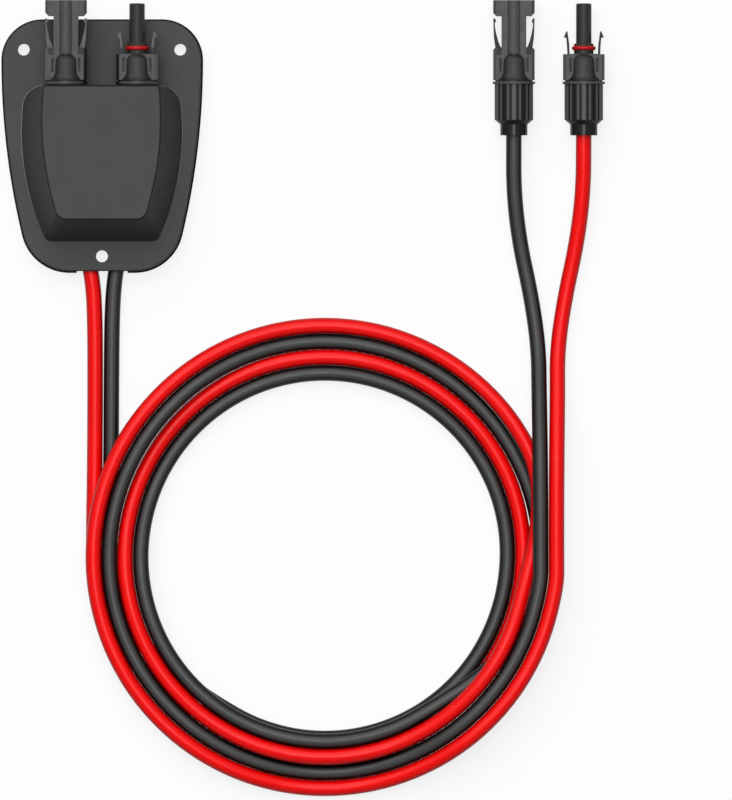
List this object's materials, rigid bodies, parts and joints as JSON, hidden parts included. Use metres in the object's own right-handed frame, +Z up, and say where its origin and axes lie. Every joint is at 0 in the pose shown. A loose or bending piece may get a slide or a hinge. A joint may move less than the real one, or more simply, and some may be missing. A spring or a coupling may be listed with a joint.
{
  "type": "solar cable entry box",
  "caption": "Flanged weatherproof box with a raised hood, built-in single-pole solar connectors at its end, and coiled red and black leads that end in free connectors.",
  "frame": {"origin": "on the mounting surface, under the middle of the box with its built-in connectors", "axes": "+Z up out of the mounting surface; +Y the way the connectors point, out of the hood's flat end; +X to the right"},
  "size_m": [0.2896, 0.3819, 0.035],
  "materials": {
    "box_plastic": "satin moulded, dark grey",
    "foam_gasket": "matte closed-cell foam, black",
    "connector_plastic": "satin moulded, mid grey",
    "nut_plastic": "satin moulded, near black",
    "black_rubber": "matte, black",
    "red_rubber": "smooth silicone, red",
    "tinned_contact": "tin-plated copper",
    "red_jacket": "smooth extruded jacket, red",
    "black_jacket": "smooth extruded jacket, black"
  },
  "bodies": {
    "root": {"box_shell": "box_plastic", "base_gasket": "foam_gasket", "left_port_body": "connector_plastic", "left_port_contact": "tinned_contact", "left_port_gasket": "black_rubber", "left_port_lock_nut": "nut_plastic", "left_port_boot": "black_rubber", "right_port_body": "connector_plastic", "right_port_contact": "tinned_contact", "right_port_gasket": "black_rubber", "right_port_lock_nut": "nut_plastic", "right_port_boot": "black_rubber", "right_port_seal_ring": "red_rubber", "red_plug_body": "connector_plastic", "red_plug_contact": "tinned_contact", "red_plug_seal": "black_rubber", "red_plug_claw": "nut_plastic", "red_plug_nut": "nut_plastic", "red_plug_seal_ring": "red_rubber", "black_plug_body": "connector_plastic", "black_plug_contact": "tinned_contact", "black_plug_seal": "black_rubber", "black_plug_claw": "nut_plastic", "black_plug_nut": "nut_plastic", "red_lead_start": "red_jacket", "black_lead_start": "black_jacket", "red_lead_end": "red_jacket", "black_lead_end": "black_jacket", "lead_coil": "black_jacket"}
  },
  "joints": []
}
